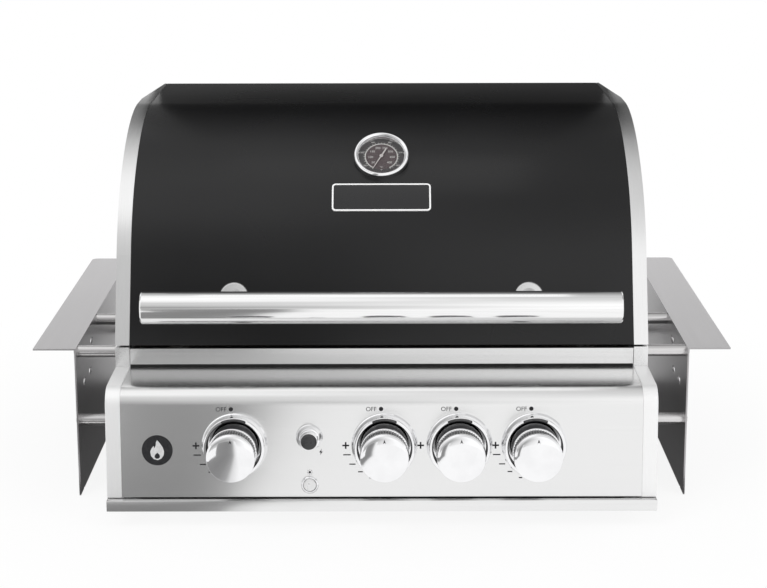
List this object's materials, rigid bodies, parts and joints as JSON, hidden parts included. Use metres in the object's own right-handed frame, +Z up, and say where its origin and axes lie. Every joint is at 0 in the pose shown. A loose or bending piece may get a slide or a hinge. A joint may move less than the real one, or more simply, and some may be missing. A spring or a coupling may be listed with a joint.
{
  "type": "built-in gas grill",
  "caption": "Drop-in gas grill: hinged round hood with bar handle and thermometer, control panel with push-and-turn knobs, slide-out drip tray, side brackets that hang on a worktop.",
  "frame": {"origin": "centre of the bounding box's bottom face, level with the lower edges of the bracket plates", "axes": "+Z up, +X to the right as the cook sees it, +Y towards the back; the knobs face -Y"},
  "size_m": [0.864, 0.7062, 0.455],
  "materials": {
    "stainless": "brushed stainless steel with a fine straight grain",
    "bracket_steel": "plain cold-rolled stainless sheet, slightly darker",
    "black_enamel": "smooth black enamel, satin",
    "inner_steel": "plain inner sheet, dull",
    "polished_steel": "polished stainless steel",
    "tube_steel": "drawn stainless tube",
    "grate_steel": "bright round stainless rod",
    "valve_metal": "die-cast, bead blasted",
    "brass": "turned brass",
    "chrome": "bright chrome plating",
    "knob_chrome": "chrome-plated knob with a dark grooved grip",
    "lens": "clear light window",
    "black_plastic": "black, fine texture",
    "button_grey": "light grey, gloss",
    "ceramic": "porous burner tile, off-white",
    "rubber": "heat-proof silicone",
    "dial_print": "dark printed dial, matt",
    "needle": "white lacquer",
    "glass": "clear flat glass",
    "badge_black": "black plate with a thin bright border",
    "pipe_steel": "drawn steel pipe"
  },
  "bodies": {
    "grill_body": {"right_mounting_bracket": "bracket_steel", "left_mounting_bracket": "bracket_steel", "bracket_spacers": "tube_steel", "bracket_bolts": "tube_steel", "right_side_panel": "stainless", "left_side_panel": "stainless", "front_sill": "stainless", "front_bulkhead": "inner_steel", "base_pan": "bracket_steel", "rear_panel": "bracket_steel", "firebox": "inner_steel", "hinge_pins": "tube_steel", "hood_rest_pads": "rubber", "control_panel": "stainless", "right_end_cap": "stainless", "left_end_cap": "stainless", "gas_manifold": "pipe_steel", "gas_inlet": "pipe_steel", "rear_burner_pipe": "pipe_steel", "valve_bodies": "valve_metal", "knob_bezels": "chrome", "bezel_lenses": "lens", "igniter_housing": "chrome", "light_switch_housing": "chrome", "main_burners": "grate_steel", "flame_tamers": "grate_steel", "cooking_grates": "grate_steel", "warming_rack": "grate_steel", "rear_burner_housing": "inner_steel", "rear_burner_tile": "ceramic", "electrodes": "ceramic", "tray_rails": "inner_steel"},
    "hood": {"hood_shell": "black_enamel", "right_hood_cap": "stainless", "left_hood_cap": "stainless", "hood_liner": "inner_steel", "hinge_bushes": "brass", "hood_handle": "polished_steel", "handle_standoffs": "polished_steel", "thermometer_case": "chrome", "thermometer_dial": "dial_print", "thermometer_glass": "glass", "badge_plate": "badge_black"},
    "thermometer_needle": {"thermometer_needle": "needle"},
    "valve_plug_1": {"valve_plug_1": "brass"},
    "knob_1": {"valve_stem_1": "brass", "knob_1": "knob_chrome"},
    "valve_plug_2": {"valve_plug_2": "brass"},
    "knob_2": {"valve_stem_2": "brass", "knob_2": "knob_chrome"},
    "valve_plug_3": {"valve_plug_3": "brass"},
    "knob_3": {"valve_stem_3": "brass", "knob_3": "knob_chrome"},
    "valve_plug_4": {"valve_plug_4": "brass"},
    "knob_4": {"valve_stem_4": "brass", "knob_4": "knob_chrome"},
    "igniter_button": {"igniter_button": "black_plastic"},
    "light_button": {"light_button": "button_grey"},
    "drip_tray": {"drip_tray": "inner_steel", "tray_front": "stainless"}
  },
  "joints": [
    {"name": "hood_hinge", "type": "hinge", "parent": "grill_body", "child": "hood", "pos_m": [0, 0.29607, 0.2522], "axis": [-1, 0, 0], "range_deg": [0, 85]},
    {"name": "needle_turn", "type": "hinge", "parent": "hood", "child": "thermometer_needle", "pos_m": [0, -0.0489, 0.41503], "axis": [0, 0.6691, -0.7431], "range_deg": [0, 290], "stiffness_Nm_per_rad": 0.002, "springref_deg": -14.32},
    {"name": "valve_turn_1", "type": "hinge", "parent": "grill_body", "child": "valve_plug_1", "pos_m": [-0.1758, -0.28027, 0.1], "axis": [0, -0.9973, 0.0732], "range_deg": [0, 180]},
    {"name": "knob_push_1", "type": "slide", "parent": "valve_plug_1", "child": "knob_1", "axis": [0, 0.9973, -0.0732], "range_m": [0, 0.0035], "stiffness_N_per_m": 2000, "springref_m": -0.004},
    {"name": "valve_turn_2", "type": "hinge", "parent": "grill_body", "child": "valve_plug_2", "pos_m": [0.0034, -0.28027, 0.1], "axis": [0, -0.9973, 0.0732], "range_deg": [0, 180]},
    {"name": "knob_push_2", "type": "slide", "parent": "valve_plug_2", "child": "knob_2", "axis": [0, 0.9973, -0.0732], "range_m": [0, 0.0035], "stiffness_N_per_m": 2000, "springref_m": -0.004},
    {"name": "valve_turn_3", "type": "hinge", "parent": "grill_body", "child": "valve_plug_3", "pos_m": [0.093, -0.28027, 0.1], "axis": [0, -0.9973, 0.0732], "range_deg": [0, 180]},
    {"name": "knob_push_3", "type": "slide", "parent": "valve_plug_3", "child": "knob_3", "axis": [0, 0.9973, -0.0732], "range_m": [0, 0.0035], "stiffness_N_per_m": 2000, "springref_m": -0.004},
    {"name": "valve_turn_4", "type": "hinge", "parent": "grill_body", "child": "valve_plug_4", "pos_m": [0.1826, -0.28027, 0.1], "axis": [0, -0.9973, 0.0732], "range_deg": [0, 180]},
    {"name": "knob_push_4", "type": "slide", "parent": "valve_plug_4", "child": "knob_4", "axis": [0, 0.9973, -0.0732], "range_m": [0, 0.0035], "stiffness_N_per_m": 2000, "springref_m": -0.004},
    {"name": "igniter_push", "type": "slide", "parent": "grill_body", "child": "igniter_button", "axis": [0, 0.9973, -0.0732], "range_m": [0, 0.005], "stiffness_N_per_m": 800, "springref_m": -0.003},
    {"name": "light_push", "type": "slide", "parent": "grill_body", "child": "light_button", "axis": [0, 0.9973, -0.0732], "range_m": [0, 0.0025], "stiffness_N_per_m": 600, "springref_m": -0.002},
    {"name": "drip_tray_slide", "type": "slide", "parent": "grill_body", "child": "drip_tray", "axis": [0, -1, 0], "range_m": [0, 0.4]}
  ]
}
